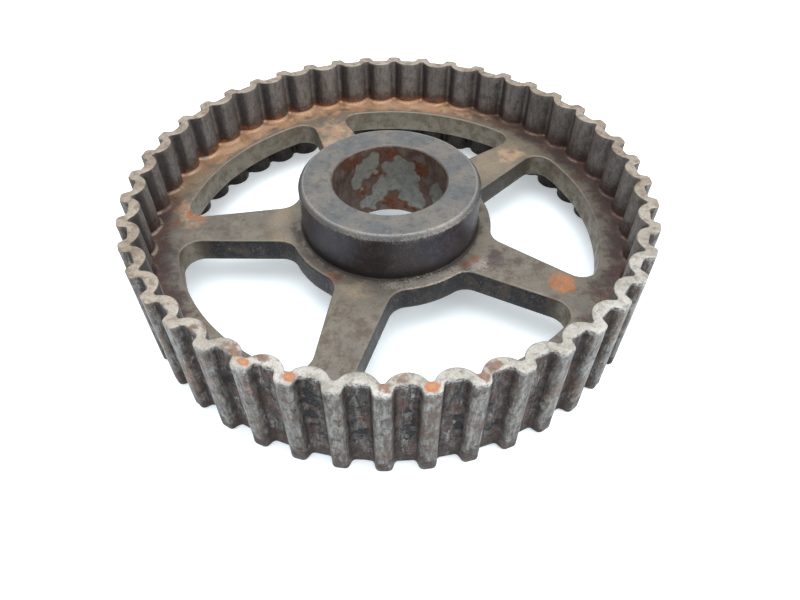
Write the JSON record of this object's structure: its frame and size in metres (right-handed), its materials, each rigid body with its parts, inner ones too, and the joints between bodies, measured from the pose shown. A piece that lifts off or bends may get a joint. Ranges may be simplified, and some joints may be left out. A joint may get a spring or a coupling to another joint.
{
  "type": "timing belt pulley",
  "caption": "Toothed timing belt pulley with a corrugated rim, a spoked web and a hub with a tapered bore.",
  "frame": {"origin": "on the axis of rotation, at the rim's lower edge", "axes": "+Z along the axis of rotation, towards the hub's raised face; +X through the middle of one tooth land"},
  "size_m": [0.132, 0.132, 0.0287],
  "materials": {
    "rim_steel": "sintered steel, satin on the lands, oily and dark in the grooves, spots of rust",
    "web_steel": "sintered steel, matt brown-grey patina with rust along the rim",
    "hub_steel": "turned face, satin blue-grey with scratches; dark oxide on the side; rust and polished patches in the bore"
  },
  "bodies": {
    "root": {"toothed_rim": "rim_steel", "spoked_web": "web_steel", "hub": "hub_steel"}
  },
  "joints": []
}
